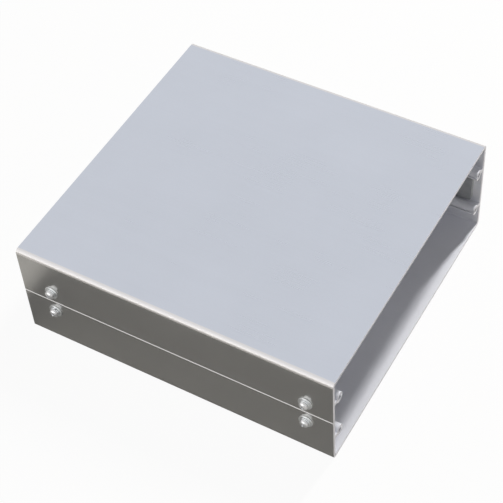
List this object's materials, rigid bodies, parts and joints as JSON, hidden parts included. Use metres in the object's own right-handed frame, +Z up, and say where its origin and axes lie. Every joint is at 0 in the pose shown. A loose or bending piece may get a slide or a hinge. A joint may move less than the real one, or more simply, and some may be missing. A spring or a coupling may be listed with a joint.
{
  "type": "extruded aluminium enclosure",
  "caption": "Flat box-section instrument enclosure of two U-shaped extruded half shells, open at both ends, joined at mid height by side screws into inner plates.",
  "frame": {"origin": "middle of the underside, under the centre of the bounding box", "axes": "+X along the extrusion to the right open end, +Y across it to the far side wall, +Z up"},
  "size_m": [0.21, 0.211, 0.0725],
  "materials": {
    "anodised_shell": "satin clear anodised extrusion",
    "mill_plate": "bare milled",
    "plated_screw": "bright nickel plated",
    "plated_washer": "bright zinc plated"
  },
  "bodies": {
    "root": {"flat_washer_far_left_lower": "plated_washer", "flat_washer_far_left_upper": "plated_washer", "flat_washer_far_right_lower": "plated_washer", "flat_washer_far_right_upper": "plated_washer", "flat_washer_near_left_lower": "plated_washer", "flat_washer_near_left_upper": "plated_washer", "flat_washer_near_right_lower": "plated_washer", "flat_washer_near_right_upper": "plated_washer", "joining_plate_far_left": "mill_plate", "joining_plate_far_right": "mill_plate", "joining_plate_near_left": "mill_plate", "joining_plate_near_right": "mill_plate", "lower_shell": "anodised_shell", "side_screw_far_left_lower": "plated_screw", "side_screw_far_left_upper": "plated_screw", "side_screw_far_right_lower": "plated_screw", "side_screw_far_right_upper": "plated_screw", "side_screw_near_left_lower": "plated_screw", "side_screw_near_left_upper": "plated_screw", "side_screw_near_right_lower": "plated_screw", "side_screw_near_right_upper": "plated_screw", "spring_washer_far_left_lower": "plated_washer", "spring_washer_far_left_upper": "plated_washer", "spring_washer_far_right_lower": "plated_washer", "spring_washer_far_right_upper": "plated_washer", "spring_washer_near_left_lower": "plated_washer", "spring_washer_near_left_upper": "plated_washer", "spring_washer_near_right_lower": "plated_washer", "spring_washer_near_right_upper": "plated_washer", "upper_shell": "anodised_shell"}
  },
  "joints": []
}
